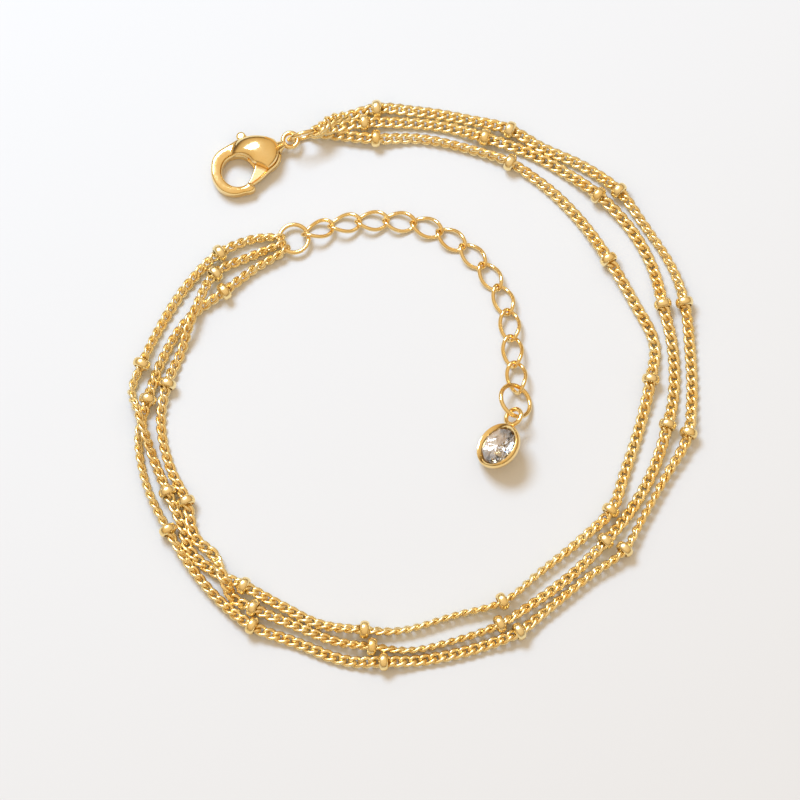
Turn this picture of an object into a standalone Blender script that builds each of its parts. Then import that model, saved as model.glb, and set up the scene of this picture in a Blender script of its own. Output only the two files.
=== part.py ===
"""Three-strand layered chain bracelet, unfastened and lying flat: clasp, beaded strands, extender and drop.

Units are metres, +Z is up, and the origin is the middle of the bracelet on the surface it lies on.
"""
import math

import bmesh
import bpy
import numpy as np
from mathutils import Matrix, Vector

MM = 0.001
GAP = 0.1 * MM

# Strands: each fine chain is a round tube of the space that its links take up
STRAND_DIAMETER = 0.86 * MM
STRAND_STEP = 2.4 * MM
END_LOOP_WIRE = 0.28 * MM
START_ANGLES = (31.0, -2.0, -32.0)
END_ANGLES = (232.0, 204.0, 176.0)

# Beads threaded on the strands
BEAD_DIAMETER = 1.72 * MM
BEAD_LENGTH = 0.94 * MM
BEAD_SIDES = 10

# Jump rings: the clasp's stands on edge, the end ring lies flat, and the drop's is a little larger
RING_DIAMETER = 3.6 * MM
RING_WIRE = 0.48 * MM
RING_CUT = 4.0
RING_SIDES = 18
STAND_TURN = 16.5
STAND_LEAN = 9.0
END_RING_PLACE = (-12.61 * MM, 15.77 * MM)
END_RING_LIFT = 0.17 * MM
DROP_RING_DIAMETER = 4.1 * MM
DROP_RING_LEAN = 33.0
DROP_RING_TURN = 18.0
DROP_LINK_ANGLE = -17.0
DROP_BAIL_ANGLE = 168.0

# Extender links
LINK_LENGTH = 3.86 * MM
LINK_WIDTH = 2.46 * MM
LINK_WIRE = 0.37 * MM
LINK_TWIST = 45.0
LINK_SIDES = 16
LINK_PLAY = 0.17 * MM
LINK_ROLLS = (-24.0, -16.0, -8.0, 0.0, 0.0, 0.0, 0.0, 0.0, 0.0, 5.0, 12.0, 20.0)

# Lobster clasp, in its own frame: X runs from the middle of the hook's hole to the eye
CLASP_PLACE = (-18.63 * MM, 23.23 * MM)
CLASP_TURN = 32.3
HOOK_BORE = 3.4 * MM
HOOK_WALL = 1.05 * MM
BULB_LENGTH = 5.3 * MM
BULB_WIDTH = 5.1 * MM
CLASP_THICKNESS = 2.7 * MM
NECK_DIAMETER = 0.9 * MM
EYE_DIAMETER = 2.12 * MM
EYE_WIRE = 0.52 * MM
EYE_REACH = 6.55 * MM
LEVER_THICKNESS = 0.9 * MM
LEVER_BASE = 0.62 * MM
LEVER_GAP = 0.12 * MM
LEVER_OPENING = 22.0
TAB_DIAMETER = 1.05 * MM
PIVOT_PAD = 1.7 * MM
RIVET_DIAMETER = 0.7 * MM
RIVET_CLEARANCE = 0.06 * MM

# Drop: a stone in a cup setting with a bail ring soldered on
CUP_DIAMETER = 5.2 * MM
CUP_HEIGHT = 1.5 * MM
CUP_WALL = 0.36 * MM
CUP_BACK_DIAMETER = 3.2 * MM
CUP_LEAN = 38.0
CUP_HEADING = 155.0
STONE_DIAMETER = 4.0 * MM
STONE_FACETS = 8
BAIL_DIAMETER = 2.3 * MM
BAIL_WIRE = 0.5 * MM
BAIL_UP = (-0.5, 0.24, 0.83)

# The hook's outer edge: angle about the hole in degrees, and share of the hook's wall
HOOK_ROWS = (
    (85.0, 1.34), (101.0, 1.36), (117.0, 1.36), (141.0, 1.1), (175.0, 1.0),
    (195.0, 1.02), (215.0, 0.99), (236.0, 0.95), (257.0, 0.68), (278.0, 0.6),
)
# The bulb's outer edge, from the hook's tip round the eye's end: shares of the bulb's length and width
BULB_ROWS = (
    (0.30, -0.392), (0.52, -0.325), (0.71, -0.284), (0.85, -0.186), (0.943, -0.098), (0.998, 0.0),
    (0.964, 0.141), (0.872, 0.267), (0.719, 0.408), (0.542, 0.51), (0.383, 0.563), (0.228, 0.584),
)
# The lever's outline, from the gate's tip: shares of the bulb's length and width
LEVER_ROWS = (
    (0.14, -0.451), (0.34, -0.412), (0.545, -0.359), (0.736, -0.318), (0.868, -0.232), (0.91, -0.125),
    (0.86, 0.0), (0.78, 0.1), (0.67, 0.216), (0.566, 0.431), (0.538, 0.588), (0.462, 0.657),
    (0.396, 0.569), (0.415, 0.373), (0.472, 0.176), (0.443, 0.039), (0.345, -0.096), (0.183, -0.235),
    (0.018, -0.318),
)
# The gate's window through the body, the pivot and the thumb tab: shares of the bulb's length and width
WINDOW_ROWS = (
    (-0.023, -0.324), (0.117, -0.471), (0.226, -0.627), (0.566, -0.627), (0.523, -0.318), (0.319, -0.071),
    (0.17, -0.098),
)
PIVOT = (0.68, -0.02)
TAB_PLACE = (0.462, 0.657)

# Routes of the strands on the surface, from the clasp to the end ring, in millimetres.
# A bead row is a bead's middle, a run row is bare chain, and an over row is chain that lies on another strand.
OUTER_ROUTE = (
    ("fall", -8.8, 29.0), ("run", -6.6, 30.0), ("bead", -3.8, 30.4), ("run", 0.4, 30.2), ("run", 6.2, 29.2),
    ("bead", 10.5, 28.0), ("run", 13.9, 26.1), ("run", 19.1, 23.5), ("bead", 22.1, 21.1), ("run", 24.6, 17.6), ("run", 28.1, 11.5),
    ("bead", 28.9, 8.6), ("run", 29.42, 3.9), ("run", 29.5, -2.6), ("bead", 29.1, -5.8), ("run", 26.5, -10.7),
    ("run", 23.9, -15.4), ("bead", 22.2, -18.4), ("run", 18.6, -21.1), ("run", 13.2, -25.5), ("bead", 11.1, -27.2),
    ("run", 7.5, -28.6), ("run", 1.2, -30.1), ("bead", -3.0, -30.4), ("run", -6.3, -30.3), ("run", -12.6, -28.1),
    ("bead", -16.7, -26.6), ("run", -19.8, -24.1), ("run", -23.6, -19.6), ("bead", -25.6, -16.3),
    ("run", -28.1, -10.8), ("run", -28.8, -6.2), ("bead", -27.9, -2.1), ("run", -26.6, 2.0), ("run", -23.6, 7.0),
    ("bead", -20.0, 9.8), ("run", -16.8, 12.4),
)
MIDDLE_ROUTE = (
    ("bead", -5.2, 28.8), ("run", -0.9, 28.9), ("run", 4.5, 28.2), ("bead", 7.8, 27.1), ("run", 11.4, 26.0),
    ("run", 16.2, 23.4), ("bead", 19.9, 20.6), ("run", 23.0, 17.4), ("run", 25.6, 12.6), ("bead", 26.6, 8.4),
    ("run", 27.6, 3.7), ("run", 27.5, -2.3), ("bead", 26.9, -4.9), ("run", 25.2, -10.0), ("run", 22.6, -14.5),
    ("bead", 20.2, -17.5), ("run", 17.0, -20.7), ("run", 12.0, -24.5), ("bead", 9.1, -26.4), ("run", 5.3, -27.8),
    ("run", -0.3, -29.1), ("bead", -4.2, -28.8), ("run", -7.8, -28.2), ("run", -12.6, -26.3), ("bead", -16.6, -24.7),
    ("run", -18.7, -23.5), ("over", -19.5, -22.0), ("over", -20.2, -20.5), ("run", -20.7, -19.0), ("run", -22.6, -17.2),
    ("bead", -23.7, -13.2), ("run", -25.4, -9.6), ("run", -26.5, -4.4), ("bead", -25.9, -0.4), ("run", -24.4, 3.4),
    ("over", -23.7, 5.6), ("over", -22.8, 8.2), ("bead", -21.0, 11.8), ("run", -17.0, 13.9),
)
INNER_ROUTE = (
    ("bead", -3.9, 27.0), ("run", 0.4, 27.1), ("run", 6.4, 25.8), ("bead", 10.5, 24.3), ("run", 13.5, 22.3),
    ("run", 18.0, 17.8), ("bead", 20.9, 13.4), ("run", 23.5, 8.9), ("run", 25.7, 3.8), ("bead", 25.2, 0.1),
    ("run", 24.1, -4.6), ("run", 22.3, -10.1), ("bead", 20.8, -14.2), ("run", 17.7, -17.2), ("run", 13.3, -20.8),
    ("bead", 9.4, -24.0), ("run", 4.5, -25.4), ("run", -2.2, -27.1), ("bead", -5.0, -27.0), ("run", -9.7, -26.3),
    ("run", -13.6, -24.4), ("bead", -17.6, -22.3), ("run", -20.4, -20.9), ("run", -23.4, -18.2), ("run", -24.1, -15.9),
    ("bead", -25.7, -12.2), ("run", -27.2, -8.6), ("over", -28.1, -6.0), ("over", -28.9, -3.6), ("run", -29.6, -1.3),
    ("bead", -28.6, 1.8), ("run", -26.6, 6.2), ("run", -23.9, 10.6), ("bead", -20.5, 14.1), ("run", -17.1, 15.7),
)
# Route of the extender, through the middles of its links, in millimetres
EXTENDER_ROUTE = (
    (-10.0, 16.75), (-4.1, 17.8), (1.6, 17.1), (6.6, 13.8), (9.8, 8.7), (10.7, 2.7), (11.3, -1.6),
)


def clear_scene():
    """Remove every object that the scene starts with."""
    for item in list(bpy.data.objects):
        bpy.data.objects.remove(item, do_unlink=True)


clear_scene()
PARTS = bpy.data.collections.new("layered_chain_bracelet")
CUTTERS = bpy.data.collections.new("cutters")
bpy.context.scene.collection.children.link(PARTS)
bpy.context.scene.collection.children.link(CUTTERS)


def make_material(name, colour, roughness, metallic=1.0):
    """A Principled material of one colour, given as linear red, green and blue."""
    material = bpy.data.materials.new(name)
    material.use_nodes = True
    shader = material.node_tree.nodes["Principled BSDF"]
    shader.inputs["Base Color"].default_value = (*colour, 1.0)
    shader.inputs["Roughness"].default_value = roughness
    shader.inputs["Metallic"].default_value = metallic
    return material


def add_part(name, data, material, place=None):
    """A named piece of the bracelet, smooth shaded, with its own material."""
    part = bpy.data.objects.new(name, data)
    PARTS.objects.link(part)
    if not data.materials:
        data.materials.append(material)
    if isinstance(data, bpy.types.Mesh) and data.polygons:
        data.shade_smooth()
        data.set_sharp_from_angle(angle=math.radians(35))
    if place is not None:
        part.matrix_world = place
    return part


def add_cutter(name, data, place=None):
    """A hidden shape that another piece is cut or joined with."""
    cutter = bpy.data.objects.new(name, data)
    CUTTERS.objects.link(cutter)
    cutter.hide_render = True
    cutter.display_type = "WIRE"
    if place is not None:
        cutter.matrix_world = place
    return cutter


def join_or_cut(part, operation, cutter):
    """Add a Boolean modifier to a part."""
    step = part.modifiers.new(operation.lower() + "_" + cutter.name, "BOOLEAN")
    step.operation = operation
    step.object = cutter
    step.solver = "EXACT"


def frame_at(middle, along, up):
    """A placing matrix: X lies along one direction, and Z as near to another as it can."""
    x_axis = Vector(along).normalized()
    y_axis = Vector(up).cross(x_axis).normalized()
    z_axis = x_axis.cross(y_axis)
    place = Matrix((x_axis, y_axis, z_axis)).transposed().to_4x4()
    place.translation = Vector(middle)
    return place


def wire_mesh(name, points, diameter, sides, closed=False):
    """A round wire through points, as one closed mesh with welded caps."""
    curve = bpy.data.curves.new(name + "_curve", "CURVE")
    curve.dimensions = "3D"
    curve.bevel_depth = diameter / 2
    curve.bevel_resolution = sides // 2 - 2
    curve.use_fill_caps = True
    spline = curve.splines.new("POLY")
    spline.points.add(len(points) - 1)
    spline.points.foreach_set("co", np.column_stack([points, np.ones(len(points))]).ravel())
    spline.use_cyclic_u = closed
    holder = bpy.data.objects.new(name + "_curve", curve)
    CUTTERS.objects.link(holder)
    bpy.context.view_layer.update()
    ready = holder.evaluated_get(bpy.context.evaluated_depsgraph_get())
    mesh = bpy.data.meshes.new_from_object(ready)
    bpy.data.objects.remove(holder, do_unlink=True)
    mesh.name = name
    shape = bmesh.new()
    shape.from_mesh(mesh)
    bmesh.ops.remove_doubles(shape, verts=shape.verts, dist=0.002 * MM)
    bmesh.ops.recalc_face_normals(shape, faces=shape.faces)
    shape.to_mesh(mesh)
    shape.free()
    return mesh


def plate_mesh(name, outline, low, high):
    """A flat plate of an outline, from one height to another."""
    curve = bpy.data.curves.new(name + "_curve", "CURVE")
    curve.dimensions = "2D"
    curve.fill_mode = "BOTH"
    curve.extrude = (high - low) / 2
    spline = curve.splines.new("POLY")
    spline.points.add(len(outline) - 1)
    for point, (x, y) in zip(spline.points, outline):
        point.co = (x, y, 0.0, 1.0)
    spline.use_cyclic_u = True
    holder = bpy.data.objects.new(name + "_curve", curve)
    CUTTERS.objects.link(holder)
    bpy.context.view_layer.update()
    ready = holder.evaluated_get(bpy.context.evaluated_depsgraph_get())
    mesh = bpy.data.meshes.new_from_object(ready)
    bpy.data.objects.remove(holder, do_unlink=True)
    mesh.name = name
    shape = bmesh.new()
    shape.from_mesh(mesh)
    bmesh.ops.remove_doubles(shape, verts=shape.verts, dist=0.002 * MM)
    bmesh.ops.recalc_face_normals(shape, faces=shape.faces)
    bmesh.ops.translate(shape, verts=shape.verts, vec=(0, 0, (low + high) / 2))
    shape.to_mesh(mesh)
    shape.free()
    return mesh


def cylinder_mesh(name, radius, low, high, sides=24):
    """A cylinder on the Z axis between two heights."""
    mesh = bpy.data.meshes.new(name)
    shape = bmesh.new()
    bmesh.ops.create_cone(shape, cap_ends=True, segments=sides, radius1=radius, radius2=radius, depth=high - low)
    bmesh.ops.translate(shape, verts=shape.verts, vec=(0, 0, (low + high) / 2))
    shape.to_mesh(mesh)
    shape.free()
    return mesh


def ball_mesh(name, radii, middle=(0, 0, 0), around=20, rings=12):
    """A ball with three radii, about a middle."""
    mesh = bpy.data.meshes.new(name)
    shape = bmesh.new()
    bmesh.ops.create_uvsphere(shape, u_segments=around, v_segments=rings, radius=1.0)
    bmesh.ops.scale(shape, verts=shape.verts, vec=radii)
    bmesh.ops.translate(shape, verts=shape.verts, vec=middle)
    shape.to_mesh(mesh)
    shape.free()
    return mesh


def turned(part, steps):
    """Turn a profile mesh about its Z axis into a closed solid."""
    screw = part.modifiers.new("turn", "SCREW")
    screw.axis = "Z"
    screw.steps = steps
    screw.render_steps = steps
    screw.use_merge_vertices = True
    screw.merge_threshold = 0.001 * MM
    screw.use_normal_calculate = True


def profile_mesh(name, rows, closed=False):
    """A profile of joined points (radius, height), to be turned."""
    mesh = bpy.data.meshes.new(name)
    points = [(radius, 0.0, height) for radius, height in rows]
    edges = [(k, k + 1) for k in range(len(rows) - 1)]
    if closed:
        edges.append((len(rows) - 1, 0))
    mesh.from_pydata(points, edges, [])
    return mesh


def circle_points(radius, count, start=0.0, turn=360.0):
    """Points on a circle in the XY plane; a part of a circle takes in both of its ends."""
    whole = abs(turn) >= 360.0
    angles = np.radians(start) + np.radians(turn) * np.arange(count) / (count if whole else count - 1)
    return np.column_stack([radius * np.cos(angles), radius * np.sin(angles), np.zeros(count)])


def smooth_curve(points, steps=16, closed=False):
    """A cubic curve through points whose slope at each comes from its two neighbours."""
    points = np.asarray(points, float)
    if closed:
        points = np.vstack([points[-1:], points, points[:2]])
    spans = np.linalg.norm(np.diff(points, axis=0), axis=1)
    chords = np.diff(points, axis=0) / spans[:, None]
    slopes = np.empty_like(points)
    before, after = spans[:-1, None], spans[1:, None]
    slopes[1:-1] = (chords[1:] * before + chords[:-1] * after) / (before + after)
    slopes[0] = chords[0]
    slopes[-1] = chords[-1]
    t = np.linspace(0.0, 1.0, steps, endpoint=False)[:, None]
    pieces = []
    first, last = (1, len(spans) - 1) if closed else (0, len(spans))
    for k in range(first, last):
        pieces.append(
            (2 * t**3 - 3 * t**2 + 1) * points[k]
            + (t**3 - 2 * t**2 + t) * spans[k] * slopes[k]
            + (3 * t**2 - 2 * t**3) * points[k + 1]
            + (t**3 - t**2) * spans[k] * slopes[k + 1]
        )
    if not closed:
        pieces.append(points[-1:])
    return np.vstack(pieces)


def length_along(points):
    """Distance along a line of points, from its start."""
    return np.concatenate([[0.0], np.cumsum(np.linalg.norm(np.diff(points, axis=0), axis=1))])


def at_length(points, lengths, where):
    """Points of a line at given distances from its start."""
    return np.column_stack([np.interp(where, lengths, points[:, k]) for k in range(points.shape[1])])


# Finishes, in linear colour
POLISHED_GOLD = make_material("polished_gold_plate", (0.80, 0.47, 0.13), 0.18)
BRUSHED_GOLD = make_material("brushed_gold_plate", (0.78, 0.52, 0.22), 0.38)
CLEAR_STONE = make_material("clear_stone", (0.92, 0.94, 0.95), 0.03, 0.0)

# Places that several pieces share
SURFACE = 0.0
ring_radius = (RING_DIAMETER - RING_WIRE) / 2
loop_radius = RING_WIRE / 2 + GAP + END_LOOP_WIRE / 2
clasp_frame = Matrix.Rotation(math.radians(CLASP_TURN), 4, "Z")
clasp_frame.translation = (*CLASP_PLACE, SURFACE)
eye_height = LEVER_BASE + LEVER_THICKNESS / 2 + 0.1 * MM
eye_middle = clasp_frame @ Vector((EYE_REACH, 0.0, eye_height))

# The clasp's jump ring stands on edge in the eye, and the end ring lies flat on the strands' end loops
stand_along = Vector((math.cos(math.radians(STAND_TURN)), math.sin(math.radians(STAND_TURN)), 0.0))
stand_side = Vector((stand_along.y, -stand_along.x, 0.0))
stand_up = Vector((0, 0, 1)) * math.cos(math.radians(STAND_LEAN)) + stand_side * math.sin(math.radians(STAND_LEAN))
stand_height = SURFACE + ring_radius * stand_up.z + RING_WIRE / 2
eye_sine = (eye_height - stand_height) / (ring_radius * stand_up.z)
eye_cosine = -math.sqrt(1.0 - eye_sine**2)
stand_middle = eye_middle - ring_radius * (eye_cosine * stand_along + eye_sine * stand_up)
loop_reach = loop_radius + END_LOOP_WIRE / 2
end_ring_middle = Vector((*END_RING_PLACE, SURFACE + loop_reach + END_RING_LIFT))


def ring_spot(middle, along, up, angle):
    """The point of a ring's wire at an angle, with its outward and its wire direction."""
    turn = math.radians(angle)
    outward = along * math.cos(turn) + up * math.sin(turn)
    wire = up * math.cos(turn) - along * math.sin(turn)
    return middle + ring_radius * outward, outward, wire


def strand_line(route, start_angle, end_angle):
    """The smooth line of a strand from ring to ring, and the middles of its beads."""
    height = {
        "run": STRAND_DIAMETER / 2,
        "bead": BEAD_DIAMETER / 2 + GAP / 2,
        "over": STRAND_DIAMETER * 1.5 + GAP * 2,
        "fall": RING_DIAMETER * 0.62,
    }
    first, outward, _ = ring_spot(stand_middle, stand_along, stand_up, start_angle)
    last, homeward, _ = ring_spot(end_ring_middle, Vector((1, 0, 0)), Vector((0, 1, 0)), end_angle)
    reach = loop_radius + END_LOOP_WIRE * 0.4
    points = [first + outward * reach]
    points += [Vector((x * MM, y * MM, SURFACE + height[kind])) for kind, x, y in route]
    points.append(last + homeward * reach)
    steps = 16
    line = smooth_curve([tuple(point) for point in points], steps)
    line[:, 2] = np.maximum(line[:, 2], SURFACE + STRAND_DIAMETER / 2)
    beads = [(k + 1) * steps for k, row in enumerate(route) if row[0] == "bead"]
    crossings = [(k + 1) * steps for k, row in enumerate(route) if row[0] == "over"]
    return line, beads, crossings


def tube_points(line, beads, crossings):
    """Points for a strand's tube: even steps between its beads and crossings, and straight through each bead."""
    lengths = length_along(line)
    half = BEAD_LENGTH / 2 + GAP
    stations = [0.0, lengths[-1]] + [lengths[index] for index in crossings]
    for index in beads:
        stations += [lengths[index] - half, lengths[index] + half]
    stations.sort()
    where = [0.0]
    for start, end in zip(stations, stations[1:]):
        count = max(1, round((end - start) / STRAND_STEP))
        where += list(np.linspace(start, end, count + 1)[1:])
    return at_length(line, lengths, np.array(where))


def bead_places(line, beads):
    """Placing matrices for the beads, whose Z axes lie along the strand."""
    lengths = length_along(line)
    half = BEAD_LENGTH / 2 + GAP
    places = []
    for index in beads:
        ends = at_length(line, lengths, np.array([lengths[index] - half, lengths[index] + half]))
        along = Vector(ends[1] - ends[0]).normalized()
        side = Vector((0, 0, 1)).cross(along).normalized()
        upward = along.cross(side)
        place = Matrix((side, upward, along)).transposed().to_4x4()
        place.translation = Vector((ends[0] + ends[1]) / 2)
        places.append(place)
    return places


# Beads share one turned profile: a rounded rondelle with a hole for its strand
bead_hole = STRAND_DIAMETER / 2 + GAP
bead_hole_radius = bead_hole / math.cos(math.pi / BEAD_SIDES)
bead_waist = BEAD_DIAMETER / 2 - bead_hole_radius
bead_rows = []
for slope in (68.0, 40.0, 0.0, -40.0, -68.0):
    turn = math.radians(slope)
    bead_rows.append((
        bead_hole_radius + bead_waist * math.cos(turn) ** 0.8,
        BEAD_LENGTH / 2 * math.sin(turn) / math.sin(math.radians(68.0)),
    ))
bead_rows.append((bead_hole_radius, -BEAD_LENGTH / 2))
bead_rows.append((bead_hole_radius, BEAD_LENGTH / 2))
bead_profile = profile_mesh("bead_profile", bead_rows, closed=True)


def build_strand(name, route, start_angle, end_angle):
    """One strand: its tube with an end loop on each ring, and its beads."""
    line, beads, crossings = strand_line(route, start_angle, end_angle)
    tube_mesh = wire_mesh("strand_" + name, tube_points(line, beads, crossings), STRAND_DIAMETER, 8)
    tube = add_part("strand_" + name, tube_mesh, POLISHED_GOLD)
    rings = (
        (stand_middle, stand_along, stand_up, start_angle),
        (end_ring_middle, Vector((1, 0, 0)), Vector((0, 1, 0)), end_angle),
    )
    for label, ring in zip(("start", "end"), rings):
        spot, outward, wire = ring_spot(*ring)
        loop = wire_mesh(f"loop_{name}_{label}", circle_points(loop_radius, 12), END_LOOP_WIRE, 6, closed=True)
        cutter = add_cutter(loop.name, loop, frame_at(spot, outward, wire))
        join_or_cut(tube, "UNION", cutter)
    for number, place in enumerate(bead_places(line, beads), 1):
        bead = add_part(f"bead_{name}_{number:02d}", bead_profile, POLISHED_GOLD, place)
        turned(bead, BEAD_SIDES)


build_strand("outer", OUTER_ROUTE, START_ANGLES[0], END_ANGLES[0])
build_strand("middle", MIDDLE_ROUTE, START_ANGLES[1], END_ANGLES[1])
build_strand("inner", INNER_ROUTE, START_ANGLES[2], END_ANGLES[2])


def build_ring(name, diameter, place, cut_angle):
    """A jump ring bent from round wire, whose two ends meet at a fine cut."""
    radius = (diameter - RING_WIRE) / 2
    points = circle_points(radius, RING_SIDES + 1, cut_angle + RING_CUT / 2, 360.0 - RING_CUT - 0.001)
    return add_part(name, wire_mesh(name, points, RING_WIRE, 6), POLISHED_GOLD, place)


build_ring("clasp_ring", RING_DIAMETER, frame_at(stand_middle, stand_along, stand_along.cross(stand_up)), 98.0)
build_ring("end_ring", RING_DIAMETER, Matrix.Translation(end_ring_middle), -52.0)

# Extender: oval links twisted a half of a right angle at each end, so that each lies flat in the next
link_reach = (LINK_LENGTH - LINK_WIRE) / 2
link_half_width = (LINK_WIDTH - LINK_WIRE) / 2
link_pitch = LINK_LENGTH - 2 * LINK_WIRE - LINK_PLAY


def twisted_link(count):
    """The middle line of a twisted oval link: an ellipse whose plane turns from end to end."""
    turn = np.radians(360.0 * np.arange(count) / count)
    twist = math.radians(LINK_TWIST) * np.cos(turn)
    across = link_half_width * np.sin(turn)
    return np.column_stack([link_reach * np.cos(turn), across * np.cos(twist), across * np.sin(twist)])


link_mesh = wire_mesh("extender_link", twisted_link(LINK_SIDES), LINK_WIRE, 6, closed=True)
link_corners = np.array([vertex.co for vertex in link_mesh.vertices])
hold = (RING_WIRE + LINK_WIRE) / 2 + LINK_PLAY
extender_points = [Vector((x * MM, y * MM, 0.0)) for x, y in EXTENDER_ROUTE]
leaving = (extender_points[0] - Vector((*END_RING_PLACE, 0.0))).normalized()
first_hold = Vector((*END_RING_PLACE, 0.0)) + leaving * (ring_radius - hold)
extender_points[0:1] = [first_hold, first_hold + leaving * link_reach]
extender_points.append(extender_points[-1] + (extender_points[-1] - extender_points[-2]) * 2)
extender_line = smooth_curve([tuple(point) for point in extender_points])
extender_lengths = length_along(extender_line)
for number, roll in enumerate(LINK_ROLLS):
    where = link_reach + (np.array([-0.5, 0.0, 0.5]) + number) * link_pitch
    spots = at_length(extender_line, extender_lengths, where)
    along = Vector(spots[2] - spots[0]).normalized()
    tilt = math.radians(roll)
    drop = min(corner[1] * math.sin(tilt) + corner[2] * math.cos(tilt) for corner in link_corners)
    middle = Vector(spots[1]) + Vector((0, 0, SURFACE - drop))
    link_place = frame_at(middle, along, (0, 0, 1)) @ Matrix.Rotation(tilt, 4, "X")
    add_part(f"extender_link_{number + 1:02d}", link_mesh, POLISHED_GOLD, link_place)

# The cup rests on its back edge and leans over, so the height of its bail is known first
cup_lean = math.radians(CUP_LEAN)
cup_heading = math.radians(CUP_HEADING)
cup_side = Vector((math.cos(cup_heading), math.sin(cup_heading), 0.0))
cup_up = cup_side * math.sin(cup_lean) + Vector((0, 0, math.cos(cup_lean)))
cup_along = Vector((math.sin(cup_heading), -math.cos(cup_heading), 0.0))
cup_radius = CUP_DIAMETER / 2
cup_back_radius = CUP_BACK_DIAMETER / 2
stone_radius = STONE_DIAMETER / 2
seat_depth = CUP_HEIGHT * 0.5
cup_rise = CUP_HEIGHT * math.cos(cup_lean) + cup_back_radius * math.sin(cup_lean)
bail_radius = (BAIL_DIAMETER - BAIL_WIRE) / 2
bail_offset = cup_along * (cup_radius + bail_radius + BAIL_WIRE * 0.2) - cup_up * CUP_HEIGHT * 0.35
bail_height = SURFACE + cup_rise + bail_offset.z

# Drop ring: it hangs from the last link and holds the bail
drop_radius = (DROP_RING_DIAMETER - RING_WIRE) / 2
last_hold = link_place @ Vector((link_reach - hold - LINK_PLAY, 0.0, 0.0))
drop_lean = math.radians(DROP_RING_LEAN)
drop_turn = math.radians(DROP_RING_TURN)
drop_level = Vector((math.cos(drop_turn), math.sin(drop_turn), 0.0)) * math.sin(drop_lean)
drop_up = drop_level + Vector((0, 0, math.cos(drop_lean)))
drop_along = Vector((0, 1, 0)) - drop_up * drop_up.y
drop_frame = frame_at((0, 0, 0), drop_along, drop_up)
drop_frame.translation = last_hold - drop_frame @ Vector(circle_points(drop_radius, 1, DROP_LINK_ANGLE)[0])
build_ring("drop_ring", DROP_RING_DIAMETER, drop_frame, 60.0)

# Drop: a turned cup with a seat for the stone, and a bail soldered to its side
bail_middle = drop_frame @ Vector(circle_points(drop_radius + LINK_PLAY, 1, DROP_BAIL_ANGLE)[0])
bail_middle.z = bail_height
cup_frame = frame_at(bail_middle - bail_offset, cup_along, cup_up)
cup_rows = (
    (0.0, -seat_depth),
    (stone_radius - CUP_WALL, -seat_depth),
    (stone_radius + GAP, -seat_depth * 0.55),
    (cup_radius - CUP_WALL, 0.0),
    (cup_radius - CUP_WALL * 0.3, 0.0),
    (cup_radius, -CUP_WALL * 0.4),
    (cup_radius - CUP_WALL * 0.6, -CUP_HEIGHT * 0.55),
    (cup_back_radius, -CUP_HEIGHT),
    (0.0, -CUP_HEIGHT),
)
setting = add_part("drop_setting", profile_mesh("drop_setting", cup_rows), POLISHED_GOLD, cup_frame)
turned(setting, 20)
bail_mesh = wire_mesh("bail", circle_points(bail_radius, 14), BAIL_WIRE, 6, closed=True)
bail = add_cutter("bail", bail_mesh, frame_at(bail_middle, cup_along, BAIL_UP))
join_or_cut(setting, "UNION", bail)
solder_mesh = cylinder_mesh("solder", BAIL_WIRE * 0.7, -BAIL_WIRE, BAIL_WIRE * 0.4, 8)
solder_middle = bail_middle - cup_along * (bail_radius + BAIL_WIRE * 0.2)
solder = add_cutter("solder", solder_mesh, frame_at(solder_middle, cup_up, cup_along))
join_or_cut(setting, "UNION", solder)

stone_rows = (
    (0.0, CUP_WALL * 0.3),
    (stone_radius * 0.56, CUP_WALL * 0.3),
    (stone_radius, -seat_depth * 0.42),
    (stone_radius, -seat_depth * 0.5),
    (stone_radius - CUP_WALL * 1.3, -seat_depth + GAP * 1.3),
    (0.0, -seat_depth + GAP * 1.3),
)
stone = add_part("drop_stone", profile_mesh("drop_stone", stone_rows), CLEAR_STONE, cup_frame)
turned(stone, STONE_FACETS * 2)

# Clasp body: a plate of the clasp's outline, domed by a ball, with the hole, the gate's window and the lever's slot
bore_radius = HOOK_BORE / 2


def bulb_point(row):
    """A point given as shares of the bulb's length and width."""
    return (row[0] * BULB_LENGTH, row[1] * BULB_WIDTH)


def hook_point(row):
    """A point of the hook's outer edge, given as its angle about the hole and its share of the wall."""
    turn = math.radians(row[0])
    radius = bore_radius + HOOK_WALL * row[1]
    return (radius * math.cos(turn), radius * math.sin(turn))


pivot = bulb_point(PIVOT)
body_outline = smooth_curve([hook_point(row) for row in HOOK_ROWS] + [bulb_point(row) for row in BULB_ROWS], 3, True)
lever_outline = smooth_curve([bulb_point(row) for row in LEVER_ROWS], 2, True)
body = add_part("clasp_body", plate_mesh("clasp_body", body_outline, 0.0, CLASP_THICKNESS), POLISHED_GOLD, clasp_frame)
dome_middle = (BULB_LENGTH * 0.44, BULB_WIDTH * 0.08, 0.0)
dome = add_cutter("dome", ball_mesh("dome", (BULB_LENGTH * 1.22, BULB_WIDTH * 0.84, CLASP_THICKNESS), dome_middle, 20, 12),
                  clasp_frame)
join_or_cut(body, "INTERSECT", dome)
eye_mesh = wire_mesh("eye", circle_points((EYE_DIAMETER - EYE_WIRE) / 2, 14), EYE_WIRE, 6, closed=True)
eye = add_cutter("eye", eye_mesh, Matrix.Translation(eye_middle))
join_or_cut(body, "UNION", eye)
neck_start = BULB_LENGTH * 0.9
neck_end = EYE_REACH - EYE_DIAMETER / 2 + EYE_WIRE * 0.6
neck_mesh = cylinder_mesh("neck", NECK_DIAMETER / 2, neck_start, neck_end, 12)
neck_frame = clasp_frame @ Matrix.Translation((0, 0, eye_height)) @ Matrix.Rotation(math.radians(90), 4, "Y")
neck = add_cutter("neck", neck_mesh, neck_frame)
join_or_cut(body, "UNION", neck)
past = 0.5 * MM
bore = add_cutter("bore", cylinder_mesh("bore", bore_radius, -past, CLASP_THICKNESS + past, 24), clasp_frame)
join_or_cut(body, "DIFFERENCE", bore)
window_outline = [bulb_point(row) for row in WINDOW_ROWS]
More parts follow.
